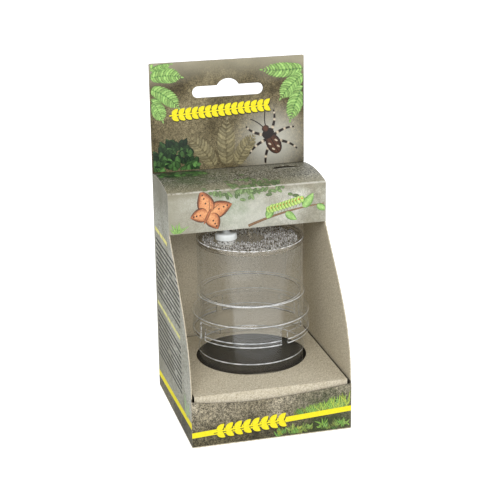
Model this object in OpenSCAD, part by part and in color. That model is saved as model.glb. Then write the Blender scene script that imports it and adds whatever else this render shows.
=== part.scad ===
// Cricket keeper box: a clear two-part tub standing in its printed hanging carton.
// Millimetres, +Z up, origin on the floor under the middle of the carton, front towards -Y.

/* [Carton] */
// Width of the carton, left to right
carton_w = 100; // [96:1:104]
// Depth of the carton, front to back
carton_d = 100; // [96:1:104]
// Height of the crease between back panel and top panel
crease_z = 145; // [143:1:148]
// Height of the hang tab's top edge
tab_top_z = 215; // [210:1:220]
// Thickness of the printed card
card_t = 0.6; // [0.5:0.1:0.6]
// Height of the front panel at its corners
front_h = 30; // [26:1:31]
// Dip of the front panel's top edge, deepest a little left of the middle
front_dip = 3.8; // [0:0.1:4.5]
// Height of the fascia that hangs from the top panel
fascia_h = 25.7; // [24:0.1:26]
// Distance of the fascia's front face from the carton's middle plane
fascia_y = 2; // [0:0.5:2]
// Drop of the top panel from its rear crease to its front crease
top_drop = 1; // [0:0.5:2]
// Upward bow of the top panel
top_bow = 2.3; // [1.5:0.1:3]
// Thumb cut, right of the carton's middle
thumb_x = 33.2; // [-33:0.1:35]
// Thumb cut, behind the carton's middle
thumb_y = 31; // [22:0.1:34]
// Width of the thumb cut's crescent at its middle
thumb_gap = 7; // [3:0.1:8]

/* [Hang slot] */
// Length of the hang slot, end to end
slot_w = 46; // [42:1:48]
// Height of the hang slot
slot_h = 7.4; // [6:0.2:8]
// Height of the slot's middle line above the floor
slot_z = 195.3; // [193:0.1:198]
// Height of the centring bump over the slot
bump_h = 4.1; // [3:0.1:5]
// Width of the bump at its foot
bump_w = 14.2; // [12:0.1:16]

/* [Tray] */
// Height of the tray's platform, top face
tray_z = 32.6; // [31:0.1:34]
// Radius of the tray's hole
tray_hole_r = 35.1; // [34.5:0.1:36]

/* [Tub] */
// Tub axis to the right of the carton's middle
tub_x = 2.4; // [0:0.1:3]
// Tub axis behind the carton's middle
tub_y = 8.4; // [8:0.1:9]
// Outer radius of the tub's wall
tub_r = 33.2; // [32.6:0.1:33.4]
// Wall thickness of the tub
wall_t = 1.2; // [1:0.1:1.3]
// Height of the lid's top face above the floor
lid_top_z = 110.5; // [109:0.5:110.5]
// Height of the bayonet skirt's lower edge
skirt_low_z = 50.4; // [49:0.1:51]
// Height of the bayonet skirt's shoulder
skirt_top_z = 64.2; // [64:0.1:65]
// Outer radius of the bayonet skirt
skirt_r = 36.8; // [36.5:0.1:37]
// Height of the cup's neck rim inside the shell
neck_top_z = 76; // [72:1:80]
// Radius of the shell's thicker foot, over the skirt
step_r = 34; // [33.6:0.1:34.4]
// Height of the step where that foot ends
step_z = 76.4; // [72:0.2:80]

/* [Bayonet] */
// Number of bayonet slots
bayonet_n = 4; // [3:1:4]
// Angle the cup turns between locked and free
bayonet_turn = 20; // [16:1:22]
// Width of one lug, as an angle
lug_angle = 6.8; // [6:0.1:7]
// Height of one lug
lug_h = 2.4; // [2:0.1:2.6]
// Direction of the first locked lug from the tub axis
lug_at = -50; // [-54:1:-46]

/* [Lid] */
// Radius of one vent hole
vent_r = 0.5; // [0.4:0.05:0.6]
// Spacing of the vent holes, which lie on a square grid
vent_pitch = 2.7; // [2.6:0.1:3.4]
// Radius of the stopper's flange
stopper_r = 6.8; // [6:0.1:6.8]
// Stopper axis to the right of the tub axis
stopper_dx = -14.8; // [-16:0.1:-14]
// Stopper axis behind the tub axis
stopper_dy = 1.3; // [1.3:0.1:2]
// Height of the stopper's stem above its flange
stem_h = 7.5; // [5:0.5:8]

/* [Hidden] */
$fn = 96;

hw = carton_w / 2;
hd = carton_d / 2;
// Gap between a card edge that moves and its neighbour
card_gap = 0.3;
// Inside faces of the card walls
in_x = hw - card_t;
in_y = hd - card_t;
// Rear crease of the top panel, in front of the tab's front layer
crease_y = in_y - card_t;
fascia_top_z = crease_z - top_drop;
fascia_low_z = fascia_top_z - fascia_h;
// The top panel is an arc through both creases
arc_l = sqrt(pow(crease_y - fascia_y, 2) + pow(top_drop, 2));
arc_r = arc_l * arc_l / (8 * top_bow) + top_bow / 2;
arc_cy = (crease_y + fascia_y) / 2 + (arc_r - top_bow) * top_drop / arc_l;
arc_cz = (crease_z + fascia_top_z) / 2 - (arc_r - top_bow) * (crease_y - fascia_y) / arc_l;
// Tray sheet, kept clear of the carton's walls
tray_t = 0.6;
tray_hx = hw - 2.2;
tray_front_y = -hd + 2 * card_t + 0.2;
tray_rear_y = hd - 3;
floor_z = 2 * card_t;
// Tub
in_r = tub_r - wall_t;
neck_r = in_r - 0.4;
shoulder_z = skirt_top_z - 1.4;
skirt_in_r = skirt_r - wall_t;
lid_low_z = lid_top_z - 2;
lid_t = 1.4;
lip_h = 1.4;
run_low_z = shoulder_z - 4.5;
run_h = lug_h + 0.8;
slot_play = 0.6;
stop_hole_r = stopper_r - 1;
stop_fit = 0.05;
lip_r = tub_r + 0.2;
plug_l = 1;
hub_r = 7.6;
// Turn of the vent grid against the carton
vent_turn = 12;
post_r = 1.75;
post_h = 7;
// Lock slit beside the hang slot, at the tab's right edge
slit_x = hw - 3;
slit_w = 0.7;
slit_low_z = 182.4;
slit_h = 13;
cut = 1;

// A cubic curve, for the swept front edge of a side panel
function bez(p, t) = pow(1 - t, 3) * p[0] + 3 * t * pow(1 - t, 2) * p[1]
    + 3 * t * t * (1 - t) * p[2] + pow(t, 3) * p[3];

side_curve = [[fascia_y + card_t, fascia_low_z], [-20, 91], [-in_y, 70], [-in_y, front_h + 1]];

// Draws a YZ outline and gives it thickness along X from x0
module yz_sheet(x0, t) {
    translate([x0, 0, 0]) rotate([90, 0, 90]) linear_extrude(t) children();
}

// Draws an XZ outline and gives it thickness along Y from y0
module xz_sheet(y0, t) {
    translate([0, y0 + t, 0]) rotate([90, 0, 0]) linear_extrude(t) children();
}

module arc_disc(r) {
    translate([arc_cy, arc_cz]) circle(r);
}

module side_outline() {
    intersection() {
        polygon(concat(
            [[-in_y, card_t], [in_y, card_t], [in_y, crease_z + 9], [fascia_y + card_t, crease_z + 9]],
            [for (i = [0:18]) bez(side_curve, i / 18)]));
        arc_disc(arc_r - card_t - card_gap);
    }
}

module hang_slot_2d() {
    r = slot_h / 2;
    br = (pow(bump_w / 2, 2) + bump_h * bump_h) / (2 * bump_h);
    translate([-slot_w / 2 + r, slot_z - r]) square([slot_w - slot_h, slot_h]);
    for (s = [-1, 1]) translate([s * (slot_w / 2 - r), slot_z]) circle(r);
    intersection() {
        translate([0, slot_z + r + bump_h - br]) circle(br);
        translate([-bump_w, slot_z]) square([2 * bump_w, slot_h + bump_h]);
    }
}

module tab_sheet_2d(low_z) {
    cr = 0.8;
    difference() {
        union() {
            translate([-hw, low_z]) square([carton_w, tab_top_z - cr - low_z]);
            translate([-hw + cr, low_z]) square([carton_w - 2 * cr, tab_top_z - low_z]);
            for (s = [-1, 1]) translate([s * (hw - cr), tab_top_z - cr]) circle(cr);
        }
        hang_slot_2d();
        translate([slit_x, slit_low_z]) square([slit_w, slit_h]);
    }
}

module back_panel() color("#b9a883") {
    xz_sheet(in_y, card_t) tab_sheet_2d(card_t);
}

module hang_tab_front_layer() color("#6e6a58") {
    xz_sheet(crease_y, card_t) tab_sheet_2d(crease_z + card_gap);
}

module left_side_panel() color("#7c8068") {
    yz_sheet(-hw, card_t) side_outline();
}

module right_side_panel() color("#7c8068") {
    yz_sheet(in_x, card_t) side_outline();
}

module front_panel() color("#5c5647") {
    n = 32;
    skew = 0.8;
    xz_sheet(-hd, card_t) polygon(concat(
        [[-hw, card_t]],
        [for (i = [0:n]) [-hw + carton_w * i / n, front_h - front_dip * sin(180 * pow(i / n, skew))]],
        [[hw, card_t]]));
}

module glue_flap() color("#b9a883") {
    xz_sheet(crease_y, card_t) polygon([[in_x, 4], [in_x, crease_z - 6], [in_x - 12, crease_z - 12],
        [in_x - 12, 10]]);
}

module bottom_panel() color("#b9a883") {
    translate([-hw, -hd, 0]) cube([carton_w, carton_d, card_t]);
}

module bottom_flap_2d() {
    y0 = -hd + 2 * card_t + 0.4;
    y1 = crease_y - 0.4;
    polygon([[-in_x, y0], [-in_x + 34, y0 + 6], [-in_x + 34, y1 - 6], [-in_x, y1]]);
}

module left_bottom_flap() color("#b9a883") {
    translate([0, 0, card_t]) linear_extrude(card_t) bottom_flap_2d();
}

module right_bottom_flap() color("#b9a883") {
    translate([0, 0, card_t]) linear_extrude(card_t) mirror([1, 0]) bottom_flap_2d();
}

module bottom_tuck_flap() color("#b9a883") {
    xz_sheet(-in_y, card_t) polygon([[-in_x + 1, card_t], [in_x - 1, card_t], [in_x - 5, 16],
        [-in_x + 5, 16]]);
}

// Crescent-shaped thumb cut towards the rear crease
module thumb_cut() {
    r = 8.7;
    rise = r - thumb_gap;
    cut_h = 20;
    lip = (r * r + rise * rise) / (2 * rise);
    translate([thumb_x, thumb_y, crease_z - cut_h / 2]) linear_extrude(cut_h) difference() {
        rotate(-90) circle(r);
        translate([0, rise - lip]) rotate(-90) circle(lip);
    }
}

module top_panel() color("#66614f") {
    difference() {
        yz_sheet(-hw, carton_w) intersection() {
            difference() {
                arc_disc(arc_r);
                arc_disc(arc_r - card_t);
            }
            translate([fascia_y, crease_z - 20]) square([crease_y - fascia_y, 40]);
        }
        thumb_cut();
    }
}

module fascia() color("#a8a48f") {
    translate([-hw, fascia_y, fascia_low_z])
        cube([carton_w, card_t, fascia_h - card_t - 0.1]);
}

module ear_outline() {
    intersection() {
        polygon([[fascia_y + card_t, fascia_low_z + 3], [fascia_y + card_t + 16, fascia_low_z + 9],
            [fascia_y + card_t + 16, crease_z + 9], [fascia_y + card_t, crease_z + 9]]);
        arc_disc(arc_r - card_t - card_gap);
    }
}

module left_tuck_ear() color("#b9a883") {
    yz_sheet(-in_x + card_gap, card_t) ear_outline();
}

module right_tuck_ear() color("#b9a883") {
    yz_sheet(in_x - card_gap - card_t, card_t) ear_outline();
}

module tray_platform() color("#c3ad86") {
    difference() {
        translate([-tray_hx, tray_front_y, tray_z - tray_t])
            cube([2 * tray_hx, tray_rear_y - tray_front_y, tray_t]);
        translate([tub_x, tub_y, tray_z - tray_t - cut]) cylinder(r = tray_hole_r, h = tray_t + 2 * cut);
    }
}

module tray_front_leg() color("#c3ad86") {
    translate([-tray_hx, tray_front_y, floor_z]) cube([2 * tray_hx, tray_t, tray_z - tray_t - floor_z]);
}

module tray_rear_leg() color("#c3ad86") {
    translate([-tray_hx, tray_rear_y - tray_t, floor_z])
        cube([2 * tray_hx, tray_t, tray_z - tray_t - floor_z]);
}

// A piece of a ring round the tub axis, from angle a0 over angle da
module tub_sector(ri, ro, z0, z1, a0, da) {
    translate([tub_x, tub_y, z0]) rotate([0, 0, a0]) rotate_extrude(angle = da)
        translate([ri, 0]) square([ro - ri, z1 - z0]);
}

module lower_cup() color("#dfe6e8", 0.4) {
    foot_z = floor_z;
    base_z = floor_z + 1.6;
    bead_z = 38.1;
    bead_h = 0.8;
    bead_r = tub_r + 0.35;
    rim_r = neck_r - wall_t;
    ledge_z = shoulder_z - 2.6;
    translate([tub_x, tub_y, 0]) rotate_extrude() polygon([[0, foot_z], [tub_r, foot_z],
        [tub_r, bead_z], [bead_r, bead_z], [bead_r, bead_z + bead_h], [tub_r, bead_z + bead_h],
        [tub_r, shoulder_z], [neck_r, shoulder_z], [neck_r, neck_top_z], [rim_r, neck_top_z],
        [rim_r, ledge_z], [in_r, ledge_z], [in_r, base_z], [0, base_z]]);
    for (i = [0:bayonet_n - 1])
        tub_sector(tub_r - 0.4, skirt_r - 0.3, run_low_z + 0.4, run_low_z + 0.4 + lug_h,
            lug_at + i * 360 / bayonet_n - lug_angle / 2, lug_angle);
}

module upper_shell() color("#dfe6e8", 0.4) {
    leg_w = lug_angle + 2 * slot_play;
    run_w = bayonet_turn + lug_angle + 2 * slot_play;
    bead_top_z = skirt_low_z + 3.3;
    mid_r = skirt_r - 0.3;
    difference() {
        translate([tub_x, tub_y, 0]) rotate_extrude() polygon([[in_r, shoulder_z],
            [skirt_in_r, shoulder_z], [skirt_in_r, skirt_low_z], [skirt_r, skirt_low_z],
            [skirt_r, bead_top_z], [mid_r, bead_top_z], [mid_r, shoulder_z], [skirt_r, shoulder_z],
            [skirt_r, skirt_top_z], [step_r, skirt_top_z], [step_r, step_z], [tub_r, step_z],
            [tub_r, lid_low_z], [in_r, lid_low_z]]);
        for (i = [0:bayonet_n - 1]) {
            a = lug_at + i * 360 / bayonet_n + lug_angle / 2 + slot_play;
            tub_sector(tub_r + 0.6, skirt_r + cut, run_low_z, run_low_z + run_h, a - run_w, run_w);
            tub_sector(tub_r + 0.6, skirt_r + cut, skirt_low_z - cut, run_low_z + run_h / 2,
                a - run_w + slot_play / 2, leg_w - slot_play);
        }
    }
}

// Vent holes on a square grid, left out round the hub, the stopper and the rim
module vent_holes() {
    n = ceil(in_r / vent_pitch);
    for (i = [-n:n], j = [-n:n]) {
        x = vent_pitch * (i * cos(vent_turn) - j * sin(vent_turn));
        y = vent_pitch * (i * sin(vent_turn) + j * cos(vent_turn));
        r = norm([x, y]);
        if (r > hub_r + 1 && r < in_r - 2 && norm([x - stopper_dx, y - stopper_dy]) > stopper_r + 1.2)
            translate([x, y, -cut]) cylinder(r = vent_r, h = lid_t + 2 * cut);
    }
}

module lid_ring() color("#e6ecee", 0.4) {
    plug_out_r = in_r - 0.1;
    plug_in_r = in_r - 1.4;
    translate([tub_x, tub_y, 0]) rotate_extrude() polygon([[plug_in_r, lid_low_z - plug_l],
        [plug_out_r, lid_low_z - plug_l], [plug_out_r, lid_low_z], [lip_r, lid_low_z],
        [lip_r, lid_top_z + lip_h], [in_r, lid_top_z + lip_h], [in_r, lid_top_z - lid_t],
        [plug_in_r, lid_top_z - lid_t]]);
}

module vent_plate() color("#e6ecee", 0.4) {
    difference() {
        translate([tub_x, tub_y, lid_top_z - lid_t]) cylinder(r = in_r, h = lid_t);
        translate([tub_x, tub_y, lid_top_z - lid_t]) vent_holes();
        translate([tub_x + stopper_dx, tub_y + stopper_dy, lid_top_z - lid_t - cut])
            cylinder(r = stop_hole_r, h = lid_t + 2 * cut);
    }
}

module centre_post() color("#e6ecee", 0.4) {
    translate([tub_x, tub_y, lid_top_z]) cylinder(r = post_r, h = post_h);
}

module feeding_stopper() color("#f1f1ee", 0.8) {
    flange_h = 4;
    stem_r = 2;
    stop_plug_l = 3;
    translate([tub_x + stopper_dx, tub_y + stopper_dy, lid_top_z]) {
        translate([0, 0, -stop_plug_l]) cylinder(r = stop_hole_r - stop_fit, h = stop_plug_l + 0.2);
        cylinder(r = stopper_r, h = flange_h);
        translate([0, 0, flange_h - 0.2]) cylinder(r = stem_r, h = stem_h + 0.2 - stem_r);
        translate([0, 0, flange_h + stem_h - stem_r]) sphere(stem_r);
    }
}

back_panel();
hang_tab_front_layer();
left_side_panel();
right_side_panel();
front_panel();
glue_flap();
bottom_panel();
left_bottom_flap();
right_bottom_flap();
bottom_tuck_flap();
top_panel();
fascia();
left_tuck_ear();
right_tuck_ear();
tray_platform();
tray_front_leg();
tray_rear_leg();
lower_cup();
upper_shell();
lid_ring();
vent_plate();
centre_post();
feeding_stopper();
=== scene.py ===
"""Dressed scene of a clear keeper tub standing in its printed hanging carton."""
import bmesh
import bpy
import numpy as np
from mathutils import Matrix

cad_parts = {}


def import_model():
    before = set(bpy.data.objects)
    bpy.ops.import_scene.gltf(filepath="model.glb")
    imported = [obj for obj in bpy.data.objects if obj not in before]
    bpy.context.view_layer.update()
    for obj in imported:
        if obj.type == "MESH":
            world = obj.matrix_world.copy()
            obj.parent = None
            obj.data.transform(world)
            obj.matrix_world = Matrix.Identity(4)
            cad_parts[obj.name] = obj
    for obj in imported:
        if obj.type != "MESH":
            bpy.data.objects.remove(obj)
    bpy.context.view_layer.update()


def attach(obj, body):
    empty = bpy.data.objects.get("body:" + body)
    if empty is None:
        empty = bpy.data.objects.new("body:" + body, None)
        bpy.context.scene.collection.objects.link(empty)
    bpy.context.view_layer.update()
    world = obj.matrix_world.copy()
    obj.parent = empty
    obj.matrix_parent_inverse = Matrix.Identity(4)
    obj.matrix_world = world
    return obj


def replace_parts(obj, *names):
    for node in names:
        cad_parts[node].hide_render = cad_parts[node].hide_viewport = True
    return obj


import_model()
MM = 0.001

# Sizes repeated from the part's source, in millimetres and degrees
HALF, CARD = 50.0, 0.6
CREASE_Y, CREASE_Z = 48.8, 145.0
FASCIA_Y, FASCIA_LOW, FASCIA_TOP = 2.0, 118.3, 144.0
BOW, TAB_TOP = 2.3, 215.0
TRAY_Z, TRAY_T = 32.6, 0.8
THUMB_X, THUMB_Y, THUMB_R, THUMB_GAP = 33.2, 31.0, 8.7, 7.0
THUMB_RISE = THUMB_R - THUMB_GAP
THUMB_LIP = (THUMB_R ** 2 + THUMB_RISE ** 2) / (2 * THUMB_RISE)
TUB_X, TUB_Y, TUB_R, WALL = 2.4, 8.4, 33.2, 1.2
IN_R = TUB_R - WALL
FLOOR_Z, FLOOR_T = 1.2, 1.6
CUP_BEAD, BEAD_OUT, BEAD_H = 38.1, 0.35, 0.8
SHOULDER, LEDGE_DROP = 62.8, 2.6
NECK_R, NECK_TOP = IN_R - 0.4, 76.0
STEP_R, STEP_Z = 34.0, 76.4
SKIRT_R, SKIRT_LOW, SKIRT_TOP, GROOVE = 36.8, 50.4, 64.2, 0.3
SKIRT_IN, SKIRT_BEAD = SKIRT_R - WALL, SKIRT_LOW + 3.3
LUG_AT, LUG_W, LUG_H, TURN = -50.0, 6.8, 2.4, 20.0
RUN_LOW, RUN_H, SLOT_GAP = 58.3, 3.2, 0.6
LID_TOP, LID_T = 110.5, 1.4
LID_LOW, LID_LIP = LID_TOP - 2.0, LID_TOP + 1.4
LIP_OUT, PLUG_OUT, PLUG_IN, PLUG_H = 0.2, 0.1, 1.4, 1.0
VENT_PITCH, VENT_R, VENT_TURN = 2.7, 0.5, 12.0
HUB_R, RIM_CLEAR, STOP_CLEAR = 8.6, 2.0, 1.2
POST_R, POST_H = 1.75, 7.0
STOP_DX, STOP_DY, STOP_R, STOP_H, STOP_DEEP, STOP_GAP = -14.8, 1.3, 6.8, 4.0, 3.0, 1.05
STEM_R, STEM_TOP = 2.0, 11.5

# Heights of the bands of painted highlight and shade along the tub's edges, how far a cutter runs past its
# piece, and the tub's steps round
LINE, HEM, LIP_LINE = 0.5, 0.9, 0.6
PAST, ROUND = 1.0, 192

# Camera fitted to the photograph: radians, millimetres in its own axes from the aim, and pixels
AZIMUTH, ELEVATION, ROLL = -0.2560640, 0.3163267, -0.0133971
CAMERA_AT, AIM_Z = (0.44777, -14.49007, 851.0581), 120.0
FOCAL, PICTURE, SENSOR = 1385.181, 500.0, 36.0

# Lights: place and size in metres, power in watts
LIGHTS = {"key": ((-0.5, -1.2, 1.0), (0.9, 0.7), 15),
          "fill": ((1.0, -0.9, 0.7), (0.9, 0.9), 5),
          "rim": ((0.3, 0.9, 1.2), (0.8, 0.5), 5)}
LIGHT_AIM = (0, 0, 0.1)
STAGE_GLOW, WORLD_LIGHT = 0.45, 0.55


def pose(axes, place):
    """Matrix of an object with these axes as columns, at a place in metres."""
    m = np.eye(4)
    m[:3, :3] = axes
    m[:3, 3] = place
    return Matrix(m.tolist())


def view_camera():
    """Camera whose place and turn were fitted to the box edges seen in the photograph."""
    ca, sa = np.cos(AZIMUTH), np.sin(AZIMUTH)
    ce, se = np.cos(ELEVATION), np.sin(ELEVATION)
    back = np.array([sa * ce, -ca * ce, se])
    right = np.array([ca, sa, 0.0])
    up = np.cross(back, right)
    c, s = np.cos(ROLL), np.sin(ROLL)
    axes = np.stack([c * right + s * up, -s * right + c * up, back], axis=1)
    place = axes @ np.array(CAMERA_AT) + np.array([0, 0, AIM_Z])
    data = bpy.data.cameras.new("camera")
    data.sensor_width = SENSOR
    data.lens = FOCAL * SENSOR / PICTURE
    data.clip_start = 0.01
    camera = shown("camera", data)
    camera.matrix_world = pose(axes, place * MM)
    bpy.context.scene.camera = camera


# Mesh making

def shown(name, data):
    """New object in the scene."""
    made = bpy.data.objects.new(name, data)
    bpy.context.collection.objects.link(made)
    return made


def smooth_shaded(mesh):
    """Smooth shading that keeps edges of more than 35 degrees sharp."""
    mesh.shade_smooth()
    mesh.set_sharp_from_angle(angle=np.radians(35.0))


def solid_mesh(name, points, faces, colours=None):
    """Mesh from points in millimetres and a list of faces, with outward normals. A patch with ink colours may
    have been trimmed at the card's edge, so its flattened faces are taken out."""
    mesh = bpy.data.meshes.new(name)
    mesh.from_pydata((np.asarray(points, float) * MM).tolist(), [], [list(map(int, f)) for f in faces])
    if colours is not None:
        layer = mesh.color_attributes.new("ink", "FLOAT_COLOR", "POINT")
        rgba = np.concatenate([np.asarray(colours, float), np.ones((len(points), 1))], axis=1)
        layer.data.foreach_set("color", rgba.ravel())
    bm = bmesh.new()
    bm.from_mesh(mesh)
    if colours is not None:
        bmesh.ops.dissolve_degenerate(bm, edges=bm.edges, dist=1e-7)
    bmesh.ops.recalc_face_normals(bm, faces=bm.faces)
    bm.to_mesh(mesh)
    bm.free()
    return mesh


def put(name, points, faces, material, body, colours=None):
    """Piece of the object that rides on a body; only print, which has ink colours, is flat shaded."""
    mesh = solid_mesh(name, points, faces, colours)
    if colours is None:
        smooth_shaded(mesh)
    mesh.materials.append(material)
    piece = shown(name, mesh)
    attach(piece, body)
    return piece


def filleted(points, radius, steps=4):
    """Closed outline with each corner swapped for a quadratic arc, which starts and ends radius away from it
    or, on a short side, 0.45 of that side away."""
    p = np.asarray(points, float)
    before, after = np.roll(p, 1, axis=0) - p, np.roll(p, -1, axis=0) - p
    lb, la = (np.linalg.norm(side, axis=1, keepdims=True) for side in (before, after))
    r = np.minimum(radius, 0.45 * np.minimum(lb, la))
    a, b = p + before / lb * r, p + after / la * r
    t = np.linspace(0, 1, steps)[None, :, None]
    arc = (1 - t) ** 2 * a[:, None] + 2 * t * (1 - t) * p[:, None] + t ** 2 * b[:, None]
    return arc.reshape(-1, 2)


def around(n):
    """Angles of n equal steps round a full turn."""
    return np.linspace(0, 2 * np.pi, n, endpoint=False)


def swept(outline, angles, cx=TUB_X, cy=TUB_Y):
    """Points of an (r, z) outline at each angle round a vertical axis: x = cx + r cos, y = cy + r sin."""
    p = np.asarray(outline, float)
    x = cx + p[None, :, 0] * np.cos(angles)[:, None]
    y = cy + p[None, :, 0] * np.sin(angles)[:, None]
    z = np.broadcast_to(p[None, :, 1], x.shape)
    return np.stack([x, y, z], axis=-1).reshape(-1, 3)


def grid_quads(n, m, rows, columns):
    """Quads of an n by m grid of points; rows = n or columns = m closes the grid that way round."""
    i, j = np.meshgrid(np.arange(rows), np.arange(columns), indexing="ij")
    i2, j2 = (i + 1) % n, (j + 1) % m
    return np.stack([i * m + j, i2 * m + j, i2 * m + j2, i * m + j2], axis=-1).reshape(-1, 4)


def lathe(outline):
    """Closed (r, z) outline swept round the tub's axis."""
    n, m = ROUND, len(outline)
    return swept(outline, around(n)), grid_quads(n, m, n, m)


def lathe_solid(outline, n=ROUND, cx=TUB_X, cy=TUB_Y):
    """Open (r, z) outline from axis to axis swept round it; the two axis points become poles."""
    p = np.asarray(outline, float)
    m = len(p) - 2
    poles = [[cx, cy, p[0, 1]], [cx, cy, p[-1, 1]]]
    k = np.arange(n)
    k2 = (k + 1) % n
    first = np.stack([np.full(n, n * m), k2 * m, k * m], axis=1)
    last = np.stack([np.full(n, n * m + 1), k * m + m - 1, k2 * m + m - 1], axis=1)
    return (np.concatenate([swept(p[1:-1], around(n), cx, cy), poles]),
            grid_quads(n, m, n, m - 1).tolist() + first.tolist() + last.tolist())


def sector(r0, r1, z0, z1, a0, a1, n=12):
    """Closed block between two radii, two heights and two angles round the tub's axis."""
    points = swept([[r0, z0], [r1, z0], [r1, z1], [r0, z1]], np.radians(np.linspace(a0, a1, n)))
    caps = [[0, 1, 2, 3], [4 * n - 1, 4 * n - 2, 4 * n - 3, 4 * n - 4]]
    return points, grid_quads(n, 4, n - 1, 4).tolist() + caps


def joined(parts):
    """One point array and face list from several."""
    points, faces, base = [], [], 0
    for p, f in parts:
        points.append(np.asarray(p, float))
        faces += [[int(k) + base for k in face] for face in f]
        base += len(p)
    return np.concatenate(points), faces


def cut_from(piece, parts):
    """Takes closed cutters out of a piece with an exact boolean and keeps the result as its mesh."""
    cutter = shown("cutter", solid_mesh("cutter", *joined(parts)))
    m = piece.modifiers.new("cut", "BOOLEAN")
    m.operation = "DIFFERENCE"
    m.solver = "EXACT"
    m.object = cutter
    done = bpy.data.meshes.new_from_object(piece.evaluated_get(bpy.context.evaluated_depsgraph_get()))
    piece.modifiers.clear()
    piece.data = done
    smooth_shaded(done)
    bpy.data.objects.remove(cutter)


def peg(x, y, r, z0, z1, n):
    """Closed upright cylinder with n sides."""
    a = around(n)
    ring = np.stack([x + r * np.cos(a), y + r * np.sin(a)], axis=1)
    low = np.column_stack([ring, np.full(n, z0)])
    high = np.column_stack([ring, np.full(n, z1)])
    k = np.arange(n)
    k2 = (k + 1) % n
    sides = np.stack([k, k2, k2 + n, k + n], axis=1).tolist()
    return np.concatenate([low, high]), sides + [list(range(n))[::-1], list(range(n, 2 * n))]


# Materials

class Shader:
    """Small helper that adds and links the nodes of one material."""

    def __init__(self, name):
        self.material = bpy.data.materials.new(name)
        self.material.use_nodes = True
        self.tree = self.material.node_tree
        self.bsdf = self.tree.nodes["Principled BSDF"]
        self.output = self.tree.nodes["Material Output"]

    def node(self, kind, inputs=None, **settings):
        """Node with its settings made first and then its inputs, by name or number."""
        n = self.tree.nodes.new("ShaderNode" + kind)
        for key, value in settings.items():
            setattr(n, key, value)
        for key, value in (inputs or {}).items():
            self.set(n.inputs[key], value)
        return n

    def set(self, socket, value):
        """Links or sets one socket; a colour may be given without its alpha."""
        if isinstance(value, bpy.types.NodeSocket):
            self.tree.links.new(value, socket)
        else:
            socket.default_value = colour4(value) if socket.type == "RGBA" else value

    def surface(self, **values):
        """Sets sockets of the principled shader; _ in a name stands for a space."""
        for key, value in values.items():
            self.set(self.bsdf.inputs[key.replace("_", " ")], value)

    def place(self):
        return self.node("TexCoord").outputs["Object"]

    def stretched(self, vector, scale):
        return self.node("Mapping", {"Vector": vector, "Scale": scale}).outputs["Vector"]

    def noise(self, vector, scale, detail=4.0, rough=0.6, distortion=0.0):
        return self.node("TexNoise", {"Vector": vector, "Scale": scale, "Detail": detail, "Roughness": rough,
                                      "Distortion": distortion}).outputs["Fac"]

    def cells(self, vector, scale):
        """Distance to the middle of the nearest cell."""
        return self.node("TexVoronoi", {"Vector": vector, "Scale": scale}).outputs["Distance"]

    def ramp(self, fac, stops):
        n = self.node("ValToRGB", {"Fac": fac})
        ramp = n.color_ramp
        while len(ramp.elements) > 1:
            ramp.elements.remove(ramp.elements[-1])
        ramp.elements[0].position = stops[0][0]
        ramp.elements[0].color = colour4(stops[0][1])
        for at, c in stops[1:]:
            ramp.elements.new(at).color = colour4(c)
        return n.outputs["Color"]

    def fade(self, fac, low, high, dark=0.0, light=1.0):
        """Grey that goes from dark below low to light above high."""
        return self.ramp(fac, [(low, (dark,) * 3), (high, (light,) * 3)])

    def mix(self, fac, a, b, blend="MIX"):
        return self.node("Mix", {0: fac, 6: a, 7: b}, data_type="RGBA", blend_type=blend).outputs[2]

    def tint(self, base, mask, share, colour):
        """Base with a share of the colour laid over it where the mask is 1."""
        return self.mix(self.mul(mask, share), base, colour)

    def math(self, operation, a, b=0.0, clamp=False):
        return self.node("Math", {0: a, 1: b}, operation=operation, use_clamp=clamp).outputs[0]

    def mul(self, a, b):
        return self.math("MULTIPLY", a, b)

    def add(self, a, b, clamp=False):
        return self.math("ADD", a, b, clamp)

    def sub(self, a, b, clamp=False):
        return self.math("SUBTRACT", a, b, clamp)

    def between(self, value, low, high, soft):
        """1 where low < value < high, with edges soft wide."""
        return self.sub(self.step(value, low, soft), self.step(value, high, soft), clamp=True)

    def below(self, value, edge, soft):
        """1 below the edge and 0 above it, over a width of soft."""
        return self.sub(1.0, self.step(value, edge, soft), clamp=True)

    def step(self, value, edge, soft):
        """0 below the edge and 1 above it, over a width of soft."""
        return self.node("MapRange", {"Value": value, "From Min": edge - soft / 2,
                                      "From Max": edge + soft / 2}).outputs["Result"]

    def distance(self, u, v, cu, cv):
        """Distance between the points (u, v) and (cu, cv)."""
        du, dv = self.sub(u, cu), self.sub(v, cv)
        return self.math("SQRT", self.add(self.mul(du, du), self.mul(dv, dv)))

    def spot(self, u, v, cu, cv, radius):
        """1 at a point of the sheet, falling smoothly to 0 at radius, all in metres."""
        far = self.distance(u, v, cu, cv)
        return self.node("MapRange", {"Value": far, "From Min": 0.0, "From Max": radius, "To Min": 1.0,
                                      "To Max": 0.0}, interpolation_type="SMOOTHSTEP").outputs["Result"]

    def axes(self, vector):
        n = self.node("SeparateXYZ", {"Vector": vector})
        return n.outputs["X"], n.outputs["Y"], n.outputs["Z"]

    def bump(self, height, strength, distance):
        n = self.node("Bump", {"Height": height, "Strength": strength, "Distance": distance})
        self.surface(Normal=n.outputs["Normal"])


def srgb(r, g, b):
    """Linear colour of a screen colour given in 0 to 255."""
    c = np.array([r, g, b], float) / 255.0
    return tuple(float(v) for v in np.where(c <= 0.04045, c / 12.92, ((c + 0.055) / 1.055) ** 2.4))


def colour4(c):
    return tuple(c[:3]) + (1.0,)


YELLOW, HEADING = srgb(236, 222, 22), srgb(206, 198, 52)
# Colour of the painted shade in the closed space under the tray
SHADE_UNDER_TRAY = srgb(52, 48, 42)

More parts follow.
